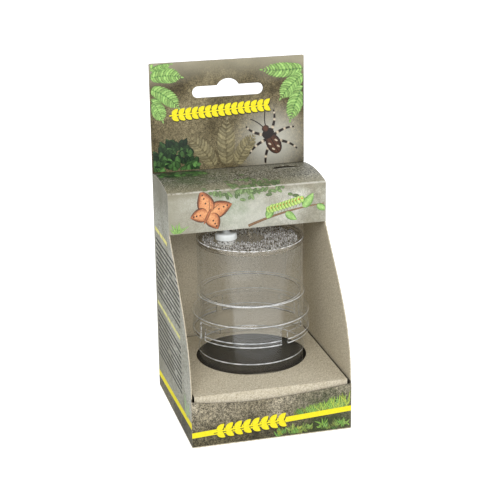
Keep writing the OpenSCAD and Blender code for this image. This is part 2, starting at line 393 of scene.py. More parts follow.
# Layout of the print, in metres: widths of sharp edges, then bands (low, high) and their rise per metre
HAIR, EDGE, FINE = 0.00002, 0.00006, 0.0002
FRONT_BAND, FRONT_RISE = (0.0092, 0.0126), 0.055
SIDE_BAND, SIDE_RISE, SIDE_GROUND = (0.0094, 0.0136), 0.045, 0.0102
BACK_BAND = (0.0110, 0.0145)
# Rows of dashes: blocks (low, high), then pitch, dashes per metre and gaps; heads; varnish and roughness
SIDE_ROWS, SIDE_RHYTHM = ((0.0660, 0.1050), (0.0240, 0.0570)), (0.0033, 60.0, 0.3)
BACK_ROWS, BACK_RHYTHM = ((0.0840, 0.1140), (0.0420, 0.0760)), (0.0023, 300.0, 0.36)
BACK_HEADS, HEAD_H = (0.0785, 0.1170), 0.003
UNDER_TRAY = (TRAY_Z - TRAY_T) * MM
SIDE_FINISH = (0.12, 0.6)


def kraft_colour(s, vector):
    """Plain kraft: long soft clouds, fine fibres and a few dark flecks."""
    clouds = s.noise(vector, 60.0, 3.0)
    fibres = s.noise(s.stretched(vector, (1.0, 0.35, 1.0)), 1500.0, 3.0, 0.7)
    base = s.mix(clouds, srgb(166, 155, 130), srgb(188, 178, 154))
    base = s.mix(s.fade(fibres, 0.38, 0.62), base, srgb(214, 206, 186))
    fleck = s.fade(s.noise(vector, 1000.0, 2.0, 0.5), 0.56, 0.68)
    return s.tint(base, fleck, 0.35, srgb(128, 113, 88)), fibres


def kraft_material(name, painted_shade=0.0):
    """Kraft card; the given share of painted shade darkens the faces that stand in the closed space under the
    tray, where little light reaches.
    """
    s = Shader(name)
    colour, fibres = kraft_colour(s, s.place())
    # Painted shade: the kraft is darkened to stand in for the shade under the tray
    if painted_shade:
        colour = s.mix(painted_shade, colour, SHADE_UNDER_TRAY)
    s.surface(Base_Color=colour, Roughness=0.8, Specular_IOR_Level=0.02 if painted_shade else 0.25)
    s.bump(fibres, 0.02 if painted_shade else 0.25, 0.0002)
    return s.material


def grit_ground(s, v, dark, mid, light, patch=28.0, grit=0.5):
    """Printed forest floor in three screen colours: broad patches, pebble cells and fine sharp grit."""
    grain = 420.0
    broad = s.noise(v, patch, 4.0, 0.55, 0.6)
    base = s.ramp(broad, [(0.3, srgb(*dark)), (0.5, srgb(*mid)), (0.7, srgb(*light))])
    pebbles = s.ramp(s.cells(v, grain), [(0.0, (1.0,) * 3), (0.55, (0.4,) * 3), (0.9, (0.05,) * 3)])
    base = s.mix(grit * 0.5, base, pebbles, "OVERLAY")
    fine = s.fade(s.noise(v, grain * 3.4, 2.0, 0.7), 0.38, 0.62, 0.02, 0.95)
    return s.mix(grit * 0.8, base, fine, "OVERLAY")


def printed(name, paint, inner, varnish=0.25, rough=0.45):
    """Card printed on its outer face only: paint gives the print, inner is 1 on kraft faces and cut edges."""
    s = Shader(name)
    v = s.place()
    x, y, z = s.axes(v)
    kraft, fibres = kraft_colour(s, v)
    # Painted shade on the kraft faces: darker below the tray, where the closed space under it lies in shade
    under = s.below(z, UNDER_TRAY, 0.0006)
    kraft = s.tint(kraft, under, 0.85, SHADE_UNDER_TRAY)
    # Painted shade on the kraft faces near the top at the back, under the back crease, where the top panel
    # shades them
    corner = s.mul(s.step(z, 0.1345, 0.008), s.step(y, 0.046, 0.004))
    kraft = s.tint(kraft, corner, 0.85, srgb(44, 41, 36))
    colour = s.mix(inner(s, x, y, z), paint(s, v, x, y, z), kraft)
    s.surface(Base_Color=colour, Roughness=rough, Specular_IOR_Level=varnish)
    s.bump(fibres, 0.08, 0.0002)
    return s.material


def tab_paint(s, v, x, y, z):
    g = grit_ground(s, v, (50, 43, 28), (86, 77, 53), (128, 118, 90), grit=0.6)
    # Painted highlight: a lighter band across the top of the tab stands in for the varnish's sheen
    painted_sheen = s.step(s.add(z, s.mul(s.noise(v, 30.0, 2.0), 0.02)), 0.216, 0.016)
    g = s.tint(g, painted_sheen, 0.8, srgb(164, 158, 136))
    glow = s.spot(x, z, 0.028, 0.160, 0.030)
    return s.tint(g, glow, 0.9, srgb(196, 195, 184))


def top_paint(s, v, x, y, z):
    g = grit_ground(s, v, (56, 54, 42), (92, 88, 70), (126, 122, 102), grit=1.0)
    grains = s.ramp(s.noise(v, 1250.0, 2.0, 0.6), [(0.44, (0.01, 0.01, 0.008)), (0.5, (0.12, 0.115, 0.08)),
                                                   (0.58, (0.62, 0.6, 0.5))])
    g = s.mix(0.5, g, grains)
    pale = s.below(y, 0.010, 0.012)
    g = s.tint(g, pale, 0.6, srgb(140, 134, 108))
    green = s.mul(s.spot(x, y, -0.030, 0.030, 0.034), s.step(s.noise(v, 160.0, 3.0), 0.45, 0.3))
    g = s.tint(g, green, 0.8, srgb(52, 76, 36))
    # Wear: a patchy lighter line along the front crease
    crease_wear_and_pale_lip = s.mul(s.between(y, 0.0, 0.0030, 0.0006), s.step(s.noise(v, 260.0, 4.0), 0.45, 0.2))
    far = s.distance(x, y, THUMB_X * MM, (THUMB_Y + THUMB_RISE - THUMB_LIP) * MM)
    rim = (THUMB_LIP + 0.2) * MM
    lip = s.mul(s.between(far, (THUMB_LIP - 4.0) * MM, rim, 0.0006), s.step(y, (THUMB_Y - 1) * MM, 0.0006))
    lip = s.mul(lip, s.between(x, (THUMB_X - THUMB_R) * MM, (THUMB_X + THUMB_R) * MM, 0.002))
    # A lighter band along the thumb cut's lip is laid on together with the crease's wear
    crease_wear_and_pale_lip = s.math("MAXIMUM", crease_wear_and_pale_lip, s.mul(lip, 0.6))
    g = s.tint(g, crease_wear_and_pale_lip, 0.75, srgb(206, 203, 192))
    # Painted shade: a dark band along the thumb cut's edge, where the pressed-in tongue lies in shade
    lip_shade = s.mul(s.between(far, (THUMB_LIP - 1.5) * MM, rim, 0.0008), lip)
    return s.tint(g, lip_shade, 0.9, srgb(40, 38, 32))


def fascia_paint(s, v, x, y, z):
    g = grit_ground(s, v, (144, 140, 122), (180, 179, 166), (212, 212, 203), 45.0, 0.3)
    g = s.tint(g, s.spot(x, z, 0.0, 0.126, 0.030), 0.6, srgb(200, 201, 190))
    g = s.tint(g, s.spot(x, z, 0.040, 0.120, 0.022), 0.6, srgb(112, 106, 84))
    green = s.mul(s.spot(x, z, -0.010, 0.140, 0.026), s.step(s.noise(v, 120.0, 3.0), 0.42, 0.3))
    g = s.tint(g, green, 0.75, srgb(92, 118, 72))
    left = s.below(x, -0.030, 0.03)
    g = s.tint(g, left, 0.8, srgb(146, 143, 126))
    return s.tint(g, s.step(z, 0.1405, 0.003), 0.5, srgb(122, 116, 92))


def front_paint(s, v, x, y, z):
    g = grit_ground(s, v, (100, 92, 72), (132, 124, 104), (162, 154, 135), grit=0.9)
    dark = grit_ground(s, v, (40, 37, 24), (82, 76, 54), (128, 120, 92), grit=1.0)
    g = s.tint(g, s.below(z, 0.013, 0.02), 0.9, dark)
    grass = s.mul(s.spot(x, z, 0.036, 0.010, 0.036), s.step(s.noise(v, 180.0, 3.0), 0.38, 0.2))
    g = s.tint(g, grass, 0.9, srgb(44, 58, 26))
    rise = s.sub(z, s.mul(x, FRONT_RISE))
    return s.mix(s.between(rise, *FRONT_BAND, FINE), g, YELLOW)


def dashes(s, along, z, low, high, pitch, rate, gaps):
    """Rows of word-like dashes: the middle of each row, broken along it by noise of its own."""
    row = s.math("DIVIDE", z, pitch)
    band = s.between(s.math("FRACT", row), 0.26, 0.72, 0.12)
    place = s.node("CombineXYZ", {"X": s.mul(along, rate), "Y": s.mul(s.math("FLOOR", row), 7.31)}).outputs[0]
    words = s.mul(band, s.step(s.noise(place, 1.0, 1.0, 0.5), gaps, 0.05))
    return s.mul(words, s.between(z, low, high, 0.0004))


def text_blocks(s, along, z, blocks, rhythm, left, right):
    """Two blocks of dashes between a left and a right margin."""
    upper, lower = (dashes(s, along, z, *block, *rhythm) for block in blocks)
    return s.mul(s.add(upper, lower, clamp=True), s.between(along, left, right, 0.0006))


def side_paint(s, v, x, y, z):
    g = grit_ground(s, v, (132, 131, 114), (158, 158, 146), (178, 177, 167), grit=0.45)
    g = s.tint(g, s.step(z, 0.128, 0.02), 0.7, srgb(112, 110, 94))
    g = s.tint(g, s.spot(y, z, 0.050, 0.030, 0.070), 0.7, srgb(108, 105, 86))
    g = s.tint(g, text_blocks(s, y, z, SIDE_ROWS, SIDE_RHYTHM, -0.024, 0.046), 0.95, srgb(38, 38, 34))
    rise = s.add(z, s.mul(y, SIDE_RISE))
    ground = grit_ground(s, v, (52, 48, 34), (84, 78, 58), (112, 105, 80), grit=1.0)
    g = s.tint(g, s.below(rise, SIDE_GROUND, 0.001), 0.9, ground)
    return s.mix(s.between(rise, *SIDE_BAND, FINE), g, YELLOW)


def back_paint(s, v, x, y, z):
    g = grit_ground(s, v, (104, 98, 78), (128, 120, 98), (150, 144, 122), grit=0.7)
    panel = s.mul(s.between(z, 0.036, 0.128, 0.0008), s.between(x, -0.040, 0.040, 0.0008))
    g = s.tint(g, panel, 0.8, srgb(168, 166, 152))
    g = s.tint(g, text_blocks(s, x, z, BACK_ROWS, BACK_RHYTHM, -0.036, 0.036), 0.9, srgb(48, 48, 42))
    for low in BACK_HEADS:
        head = s.mul(s.between(z, low, low + HEAD_H, 0.0004), s.between(x, -0.006, 0.036, 0.0004))
        g = s.tint(g, head, 0.8, HEADING)
    return s.mix(s.between(z, *BACK_BAND, FINE), g, YELLOW)


def clear_plastic(name, haze, rim, tone, light=(238, 239, 237)):
    """Clear moulding: each wall mirrors a little where it faces the eye and much more towards its outline."""
    s = Shader(name)
    facing = s.node("LayerWeight", {"Blend": 0.5}).outputs["Facing"]
    dense = s.mul(s.math("POWER", facing, 4.0), rim - haze)
    smear = s.noise(s.stretched(s.place(), (1.0, 1.0, 0.3)), 90.0, 3.0)
    s.surface(Base_Color=s.mix(smear, srgb(*tone), srgb(*light)), Alpha=s.add(dense, haze), Metallic=0.8,
              Roughness=0.05)
    s.bump(smear, 0.008, 0.0004)
    return s.material


def painted_edge_light(name, colour, shade, alpha, grain=220.0):
    """Painted light for a narrow edge of a clear moulding: spotted colour that stands in for light gathered
    or lost there.
    """
    s = Shader(name)
    spots = s.fade(s.noise(s.place(), grain, 3.0), 0.42, 0.58)
    s.surface(Base_Color=s.mix(spots, colour, shade), Roughness=0.15, Alpha=alpha)
    return s.material


def milky_plastic():
    s = Shader("milky_plastic")
    milk = s.mix(s.noise(s.place(), 120.0), srgb(234, 239, 238), srgb(246, 250, 249))
    s.surface(Base_Color=milk, Roughness=0.35, IOR=1.45, Subsurface_Weight=0.3,
              Subsurface_Radius=(0.002, 0.002, 0.002), Alpha=0.85)
    return s.material


def ink_material():
    s = Shader("printed_ink")
    ink = s.node("Attribute", attribute_name="ink").outputs["Color"]
    grit = s.fade(s.noise(s.place(), 1300.0, 2.0, 0.7), 0.35, 0.65, 0.1, 0.9)
    s.surface(Base_Color=s.mix(0.3, ink, grit, "OVERLAY"), Roughness=0.38, Specular_IOR_Level=0.4)
    return s.material


def finish_cad():
    """Gives every carried-over card node its print or kraft; the print wraps round folded edges."""
    kraft, shaded = kraft_material("kraft_card"), kraft_material("kraft_in_shade", 0.92)
    half = HALF * MM
    fold = CARD * MM - EDGE

    def within(s, x):
        return s.math("LESS_THAN", s.math("ABSOLUTE", x), half - 0.00004)

    def behind(edge):
        return lambda s, x, y, z: s.mul(s.step(y, edge, HAIR), within(s, x))

    def before(edge):
        return lambda s, x, y, z: s.mul(s.math("LESS_THAN", y, edge), within(s, x))

    def right_of(s, x, y, z):
        return s.step(x, -half + EDGE, HAIR)

    def left_of(s, x, y, z):
        return s.math("LESS_THAN", x, half - EDGE)

    def under_arc(s, x, y, z):
        return s.math("LESS_THAN", arc_height(s, y, z), -fold)

    looks = {
        "hang_tab_front_layer": printed("tab_print", tab_paint, behind(CREASE_Y * MM + fold)),
        "back_panel": printed("back_print", back_paint, before(half - EDGE)),
        "left_side_panel": printed("left_print", side_paint, right_of, *SIDE_FINISH),
        "right_side_panel": printed("right_print", side_paint, left_of, *SIDE_FINISH),
        "front_panel": printed("front_print", front_paint, behind(-half + EDGE)),
        "fascia": printed("fascia_print", fascia_paint, behind(FASCIA_Y * MM + EDGE)),
        "top_panel": printed("top_print", top_paint, under_arc),
    }
    looks.update(dict.fromkeys(("glue_flap", "bottom_panel", "left_tuck_ear", "right_tuck_ear",
                                "tray_platform", "tray_front_leg"), kraft))
    # Painted shade: the flaps and leg in the closed space under the tray take kraft darkened to stand in for
    # the shade there
    looks.update(dict.fromkeys(("left_bottom_flap", "right_bottom_flap", "bottom_tuck_flap",
                                "tray_rear_leg"), shaded))
    for node, material in looks.items():
        panel = bpy.data.objects[node]
        panel.data.materials.clear()
        panel.data.materials.append(material)


# The top panel is an arc through both creases
ARC_LEN = float(np.hypot(CREASE_Y - FASCIA_Y, CREASE_Z - FASCIA_TOP))
ARC_R = ARC_LEN ** 2 / (8 * BOW) + BOW / 2
ARC_CY = (CREASE_Y + FASCIA_Y) / 2 + (ARC_R - BOW) * (CREASE_Z - FASCIA_TOP) / ARC_LEN
ARC_CZ = (CREASE_Z + FASCIA_TOP) / 2 - (ARC_R - BOW) * (CREASE_Y - FASCIA_Y) / ARC_LEN


def arc_height(s, y, z):
    """Height above the top panel's outer face, in metres: radius from the arc's axis less the arc's own."""
    return s.sub(s.distance(y, z, ARC_CY * MM, ARC_CZ * MM), ARC_R * MM)


# Printed motifs

def bent(x, y, angle, length, bend, n):
    """Path of n points from (x, y); it starts at angle and turns by bend, in degrees, over its length."""
    a = np.radians(angle + bend * np.linspace(0, 1, n))
    step = length / (n - 1)
    mid = (a[1:] + a[:-1]) / 2
    return np.column_stack([x + np.concatenate([[0], np.cumsum(np.cos(mid) * step)]),
                            y + np.concatenate([[0], np.cumsum(np.sin(mid) * step)])])


def quad_bezier(a, b, c, n):
    """Quadratic curve from a to c drawn towards b, as n points: (1 - t)^2 a + 2 t (1 - t) b + t^2 c."""
    t = np.linspace(0, 1, n)[:, None]
    a, b, c = (np.asarray(q, float) for q in (a, b, c))
    return (1 - t) ** 2 * a + 2 * t * (1 - t) * b + t ** 2 * c


def patch_faces(n, m):
    """Quads of a closed slab over an n by m grid: top, bottom and the four sides."""
    top, low = grid_quads(n, m, n - 1, m - 1), n * m
    column, row = np.arange(n - 1) * m, np.arange(m - 1)
    last_column, last_row = column + m - 1, row + low - m
    rims = ((column + m, column), (last_column, last_column + m), (row, row + 1), (last_row + 1, last_row))
    walls = [np.stack([a, b, b + low, a + low], axis=-1) for a, b in rims]
    return np.concatenate([top, top[:, ::-1] + low] + walls)


class Print:
    """Thin closed patches of ink on one card face; place(u, v, h) gives points h millimetres above the card,
    and low and high are the opposite corners that the print is trimmed to. Each patch lies a STEP higher than
    the one before."""
    COLUMNS = 5
    DEEP, STEP = 0.02, 0.00015

    def __init__(self, name, body, low, high, place):
        self.name, self.body, self.low, self.high, self.place = name, body, low, high, place
        self.points, self.faces, self.colours, self.base, self.layer = [], [], [], 0, 0

    def ribbon(self, path, half, middle, rim):
        """Patch along a path: point = path + side * half * j for j from -1 to 1; the colour runs from middle
        on the line to rim at both edges as j squared."""
        path = np.asarray(path, float)
        n, m = len(path), self.COLUMNS
        along = np.gradient(path, axis=0)
        along /= np.linalg.norm(along, axis=1, keepdims=True)
        side = np.stack([-along[:, 1], along[:, 0]], axis=1)
        j = np.linspace(-1, 1, m)
        half = np.broadcast_to(half, n)
        flat = (path[:, None] + side[:, None] * half[:, None, None] * j[None, :, None]).reshape(-1, 2)
        if np.all((flat > self.low) & (flat < self.high), axis=1).mean() < 0.5:
            return
        flat = np.clip(flat, self.low, self.high)
        u, v = flat.T
        h = self.DEEP + self.STEP * self.layer
        self.points.append(np.concatenate([self.place(u, v, h), self.place(u, v, -self.DEEP)]))
        mix = (j ** 2)[None, :, None]
        middle, rim = (np.broadcast_to(np.reshape(c, (-1, 1, 3)), (n, 1, 3)) for c in (middle, rim))
        colour = (middle + (rim - middle) * mix).reshape(-1, 3)
        self.colours.append(np.concatenate([colour, colour]))
        self.faces.append(patch_faces(n, m) + self.base)
        self.base += 2 * n * m
        self.layer += 1

    def leaf(self, x, y, angle, length, half, middle, rim, bend=0.0, n=9):
        """Pointed leaf whose half width is half * sin(pi * t ** 0.75) ** 0.8 along its bent midrib."""
        t = np.linspace(0, 1, n)
        wide = half * np.sin(np.pi * t ** 0.75).clip(0) ** 0.8 + 0.06
        self.ribbon(bent(x, y, angle, length, bend, n), wide, middle, rim)

    def blob(self, x, y, angle, a, b, middle, rim, n=11):
        """Ellipse with half axes a and b, its long axis at angle."""
        t = -np.cos(np.linspace(0, np.pi, n))
        d = np.array([np.cos(np.radians(angle)), np.sin(np.radians(angle))])
        wide = b * np.sqrt(1 - t ** 2).clip(0) + 0.04
        self.ribbon(np.array([x, y]) + np.outer(t * a, d), wide, middle, rim)

    def frond(self, x, y, angle, length, bend, size, middle, rim, pairs=12):
        """Fern frond: a bent stem with pairs of small leaves that are longest a little below its middle."""
        stem = bent(x, y, angle, length, bend, 4 * pairs + 1)
        self.ribbon(stem[::4], np.linspace(0.45, 0.12, pairs + 1), rim, rim)
        for k in range(pairs):
            t = (k + 0.8) / (pairs + 0.4)
            px, py = stem[int(t * 4 * pairs)]
            reach = size * np.sin(np.pi * (0.18 + 0.8 * t)) ** 0.8
            for s in (-1, 1):
                tone = 0.75 + 0.5 * ((k * 3 + s) % 5) / 4
                self.leaf(px, py, angle + bend * t + 62 * s, reach, 0.21 * reach, middle * tone, rim * tone,
                          -26 * s, 7)
        self.leaf(stem[-1, 0], stem[-1, 1], angle + bend, 0.35 * size, 0.09 * size, middle, rim, 0, 7)

    def beetle(self, x, y, angle, scale, dark, brown, pale):
        """Long-legged beetle seen from above: three body parts, six banded legs and two feelers."""
        c, s = np.cos(np.radians(angle)), np.sin(np.radians(angle))
        turn = np.array([[c, s], [-s, c]]) * scale

        def at(points):
            return np.asarray(points, float) @ turn + np.array([x, y])
        legs = (((2.2, 1.6), (6.4, 6.8), (10.6, 7.4)), ((0.2, 2.0), (0.8, 8.4), (-1.6, 12.0)),
                ((-2.6, 1.8), (-6.6, 7.2), (-11.4, 8.4)))
        feeler = ((5.6, 0.6), (9, 1.2), (12.5, 4.0))
        bands = np.where((np.arange(13) % 4 == 2)[:, None], pale, dark)
        for side in (-1, 1):
            for leg in legs:
                path = at(quad_bezier(*(np.array(q) * (1, side) for q in leg), 13))
                self.ribbon(path, scale * np.linspace(0.75, 0.35, 13), bands, bands)
            path = at(quad_bezier(*(np.array(q) * (1, side) for q in feeler), 9))
            self.ribbon(path, scale * 0.22, dark, dark)
        for cx, a, b, tone in ((-3.4, 5.2, 3.4, brown), (2.2, 2.4, 2.9, dark), (4.9, 1.5, 1.7, brown)):
            px, py = at([[cx, 0]])[0]
            self.blob(px, py, angle, a * scale, b * scale, tone, dark)
        for cx, cy in ((-5.6, 1.3), (-5.6, -1.3), (-2.6, 1.7), (-2.6, -1.7)):
            px, py = at([[cx, cy]])[0]
            self.blob(px, py, angle + 30, 0.8 * scale, 0.5 * scale, pale, brown)
        self.ribbon(at([[-8.2, 0], [-4, 0], [0.2, 0]]), scale * 0.16, dark, dark)

    def butterfly(self, x, y, angle, scale, orange, rust, dark):
        """Butterfly with spread wings: two leaf-shaped wings a side, rimmed dark, and a thin body."""
        for side in (-1, 1):
            for lean, length, half in ((38, 13, 4.4), (118, 9.5, 3.8)):
                for grow, mid, rim in ((1.0, rust, dark), (0.84, orange, rust)):
                    self.leaf(x, y, angle + side * lean, length * scale * grow, half * scale * grow, mid, rim,
                              12 * side, 11)
                path = bent(x, y, angle + side * lean, length * scale, 12 * side, 21)
                for t in (0.45, 0.66, 0.82):
                    self.blob(*path[int(20 * t)], angle, 0.5 * scale, 0.4 * scale, dark, dark, 7)
            self.ribbon(bent(x, y, angle + side * 14, 7 * scale, 18 * side, 7), 0.14 * scale, dark, dark)
        c, s = np.cos(np.radians(angle)), np.sin(np.radians(angle))
        self.blob(x - 1.2 * c * scale, y - 1.2 * s * scale, angle, 4.4 * scale, 0.75 * scale, rust, dark)

    def caterpillar(self, x, y, angle, length, bend, radius, pale, green, spot):
        """Row of overlapping rounds along a bent line, each with one spot and a short leg."""
        path = bent(x, y, angle, length, bend, 12)
        for k, (px, py) in enumerate(path):
            r = radius * (0.8 if k in (0, 11) else 1.0)
            self.ribbon([[px, py], [px + 0.2, py - 1.5 * radius]], 0.16, green, green)
            self.blob(px, py, angle + 90, r, 0.85 * r, pale, green)
            self.blob(px, py + 0.2 * r, angle, 0.25 * r, 0.22 * r, spot, spot, 7)

    def heap(self, x, y, wide, high, count, size, rng, back, front):
        """Mound of round leaves, dark at the top and lighter towards the front."""
        t = np.sort(rng.random(count))[::-1]
        for k in range(count):
            a = rng.uniform(-1, 1)
            px, py = x + a * wide, y + t[k] * high * np.sqrt(1 - a * a)
            tone = back + (front - back) * (1 - 0.8 * t[k]) * rng.uniform(0.1, 1.0) ** 2
            self.leaf(px, py, rng.uniform(20, 160), size * rng.uniform(0.6, 1.2), 0.34 * size, tone * 1.35,
                      tone * 0.35, rng.uniform(-30, 30), 7)

    def tuft(self, x, y, count, length, rng, middle, rim):
        """Grass tuft: thin blades that fan out from one root."""
        for _ in range(count):
            self.leaf(x + rng.uniform(-1.5, 1.5), y, 90 + rng.uniform(-52, 52),
                      length * rng.uniform(0.5, 1.0), 0.5, middle, rim, rng.uniform(-30, 30), 7)

    def moss(self, count, x, y, reach, largest, wide, tones, rng, middle, rim):
        """Flecks scattered to both sides of x, and from y to the side that reach points to."""
        for _ in range(count):
            tone = rng.uniform(*tones)
            self.blob(x + 12 * rng.normal(), y + np.copysign(abs(reach * rng.normal()), reach),
                      rng.uniform(-90, 90), rng.uniform(*largest), wide, middle * tone, rim * tone, 7)

    def garland(self, x, y, length, slope, pairs, size, tone, shade):
        """Row of leaf pairs on a thin stem, drawn twice: shade first and a little lower, then tone."""
        angle = np.degrees(np.arctan(slope))
        for drop, wide, colour in ((0.5, 0.27, shade), (0.0, 0.22, tone)):
            self.ribbon([[x + 0.4 * drop, y - drop], [x + length, y + slope * length - drop]], 0.45,
                        colour, colour)
            for k in range(pairs):
                px = x + (k + 0.5) * length / pairs
                for s in (-1, 1):
                    self.leaf(px + 0.4 * drop, y + slope * (px - x) - drop, angle + 58 * s, size * 0.72,
                              wide * size, colour, colour * 0.92, -24 * s, 9)

    def bars(self, x, y, slope, widths, half, colour, gap=0.0):
        """Row of plain bars with gaps between them."""
        for w in widths:
            self.ribbon([[x, y], [x + w, y + slope * w]], half, colour, colour)
            x, y = x + w + gap, y + slope * (w + gap)

    def finish(self, material):
        put(self.name, np.concatenate(self.points), np.concatenate(self.faces), material, self.body,
            np.concatenate(self.colours))


def ink(r, g, b):
    return np.array(srgb(r, g, b))


def print_motifs():
    """Generic wildlife print: ferns, beetle, leaf mounds, butterfly, caterpillar, grass and leaf garlands."""
    rng = np.random.default_rng(7)
    material = ink_material()
    leaf_green, leaf_dark = ink(150, 186, 104), ink(76, 122, 58)
    deep, moss = ink(20, 38, 22), ink(104, 152, 80)
    dark, brown, cream = ink(34, 26, 22), ink(88, 56, 40), ink(214, 200, 176)
    yellow, olive = np.array(YELLOW), ink(44, 40, 18)
    straw, straw_dark = ink(138, 129, 96), ink(98, 90, 63)

    def upright(y):
        return lambda u, v, h: np.column_stack([u, np.full(len(u), y - h), v])

    trim = HALF - 0.7
    tab = Print("tab_motifs", "carton", (-trim, CREASE_Z + 0.8), (trim, TAB_TOP - 0.5), upright(CREASE_Y))
    for frond in ((-9, 146, 118, 26, 22, 7.5), (5, 146, 70, 23, -24, 7.0), (-1, 146, 96, 30, -12, 8.0)):
        tab.frond(*frond, straw, straw_dark, 11)
    tab.heap(-35, 144, 14, 19, 150, 5.6, rng, deep, moss)
    for frond in ((50, 206.5, 184, 27, -10, 6.5), (50, 203, 214, 21, 20, 7.0), (50, 196, 240, 24, 16, 7.0),
                  (-50, 206, 12, 20, -26, 6.5), (-50, 199, -18, 22, -34, 6.5), (-50, 211, 34, 14, -40, 5.5),
                  (-50, 193, -52, 16, -20, 6.0)):
        tab.frond(*frond, leaf_green, leaf_dark)
    tab.beetle(27.5, 163, 118, 1.4, dark, brown, cream)
    tab.garland(-38, 181.5, 64, 0.045, 15, 7.4, yellow, olive)
    tab.finish(material)

    fascia = Print("fascia_motifs", "top_flap", (-trim, FASCIA_LOW + 0.3), (trim, FASCIA_TOP - 0.3),
                   upright(FASCIA_Y))
    fascia.moss(80, 6, 145, -3.6, (1.0, 2.6), 1.0, (0.5, 1.2), rng, ink(128, 152, 100), ink(86, 108, 66))
    fascia.butterfly(-25, 129.5, 64, 1.22, ink(222, 158, 108), ink(176, 108, 70), ink(74, 48, 36))
    fascia.ribbon(bent(0, 119.8, 20, 50, -16, 15), np.linspace(0.9, 0.35, 15), ink(138, 108, 80),
                  ink(96, 70, 48))
    for x, z, angle, length in ((12, 123.4, 62, 10), (24, 126.6, -46, 9), (35, 128.7, 44, 11),
                                (44, 129.6, -34, 8), (47, 129.8, 30, 8)):
        fascia.leaf(x, z, angle, length, 0.26 * length, ink(160, 198, 118), ink(82, 128, 58), 16, 11)
    fascia.caterpillar(13, 129.2, 10, 22, 6, 2.5, ink(190, 216, 120), ink(84, 124, 50), ink(206, 96, 52))
    fascia.tuft(-45, 118.2, 14, 9, rng, leaf_green, leaf_dark)
    fascia.finish(material)

    front = Print("front_motifs", "carton", (-trim, 0.4), (trim, 26), upright(-HALF))

    def blade(tone):
        return leaf_green * tone * (rng.uniform(0.7, 1.4), 1.0, rng.uniform(0.4, 0.8))
    tufts = 40
    for k in range(tufts):
        x, tone = rng.uniform(14, 49), 0.3 + 0.9 * k / tufts
        front.tuft(x, 11.2 + FRONT_RISE * x + rng.uniform(0, 2), 4, rng.uniform(3.5, 5) + 0.2 * (x - 14), rng,
                   blade(tone), moss * 0.3 * tone)
    for k in range(tufts):
        x, tone = rng.uniform(2, 49), 0.25 + 0.75 * k / tufts
        front.tuft(x, rng.uniform(0.4, 4.5), 4, rng.uniform(3, 6.5), rng, blade(tone), moss * 0.25 * tone)
    front.bars(-49.2, 8.2, FRONT_RISE, (98.4,), 1.7, yellow)
    front.garland(-37, 8.9, 44, FRONT_RISE, 8, 8.5, yellow, olive)
    front.finish(material)

    def top_place(u, v, h):
        a = np.arcsin((v - ARC_CY) / ARC_R)
        return np.column_stack([u, ARC_CY + (ARC_R + h) * np.sin(a), ARC_CZ + (ARC_R + h) * np.cos(a)])
    top = Print("top_motifs", "top_flap", (-trim, FASCIA_Y + 0.3), (THUMB_X - 10, CREASE_Y - 1), top_place)
    top.heap(-34, 30, 15, 19, 90, 5.6, rng, deep, moss)
    top.moss(70, 6, 1, 7, (1.2, 3.0), 1.2, (0.4, 1.1), rng, ink(112, 136, 86), ink(66, 88, 50))
    top.finish(material)

    for name, flip, high, low in (("left_motifs", 1, -46.0, -46.0), ("right_motifs", -1, 9.0, -22.4)):
        side = Print(name, "carton", (-trim, 0.4), (trim, 142), lambda u, v, h, flip=flip: np.column_stack(
            [np.full(len(u), -flip * (HALF + h)), -flip * u, v]))
        side.bars(high, 110.3, 0.0, (13, 9, 12), 1.3, np.array(HEADING), 1.4)
        side.bars(low, 60.4, 0.0, (16, 12, 9, 14, 11), 1.2, ink(196, 192, 70), 1.6)
        side.tuft(36 * flip, 14.5, 16, 16, rng, leaf_green * 0.8, leaf_dark * 0.7)
        side.finish(material)


# Tub

def edge_bands(piece, bands, slots=False, holes=None):
    """Painted highlight on the outer side and painted shade on the inner side of each (low, high) ring of a
    turned piece; the walls of slots, and of holes nearer to the axis than holes, take the last material,
    spotted painted light."""
    mesh = piece.data
    n = len(mesh.polygons)
    centre, normal = np.empty(3 * n), np.empty(3 * n)
    mesh.polygons.foreach_get("center", centre)
    mesh.polygons.foreach_get("normal", normal)
    centre, normal = centre.reshape(-1, 3) / MM, normal.reshape(-1, 3)
    dx, dy, z = centre[:, 0] - TUB_X, centre[:, 1] - TUB_Y, centre[:, 2]
    r = np.hypot(dx, dy)
    out = (normal[:, 0] * dx + normal[:, 1] * dy) / np.maximum(r, 0.01)
    index = np.zeros(n, int)
    # Painted highlight on faces turned outward and painted shade on faces turned inward
    for low, high in bands:
        zone = (z > low) & (z < high)
        index[zone & (out > 0.5)] = 1
        index[zone & (out < -0.5)] = 2
    if slots:
        wall = (r > SKIRT_IN) & (r < SKIRT_R) & (np.abs(out) < 0.5)
        index[wall & (z > SKIRT_LOW + 0.4) & (z < RUN_LOW + RUN_H + 0.2)] = 3
    if holes:
        index[(r < holes) & (np.abs(normal[:, 2]) < 0.5)] = 3
    mesh.polygons.foreach_set("material_index", index)


def turned(name, outline, radius, plastics, body, node, cutters=(), slots=False, bands=(), holes=None,
           lugs=()):
    """Turned clear piece from its (r, z) outline, with cutters taken out and painted highlight and shade on
    its edges.
    """
    if outline[0][0] == 0:
        smooth = filleted(outline, radius)
        smooth = smooth[smooth[:, 0] > 0.5]
        made = lathe_solid(np.concatenate([[outline[0]], smooth, [outline[-1]]]))
    else:
        made = lathe(filleted(outline, radius))
    points, faces = joined([made] + list(lugs))
    piece = put(name, points, faces, plastics[0], body)
    for part in cutters:
        cut_from(piece, part)
    for extra in plastics[1:]:
        piece.data.materials.append(extra)
    edge_bands(piece, bands, slots, holes)
    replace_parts(piece, node)


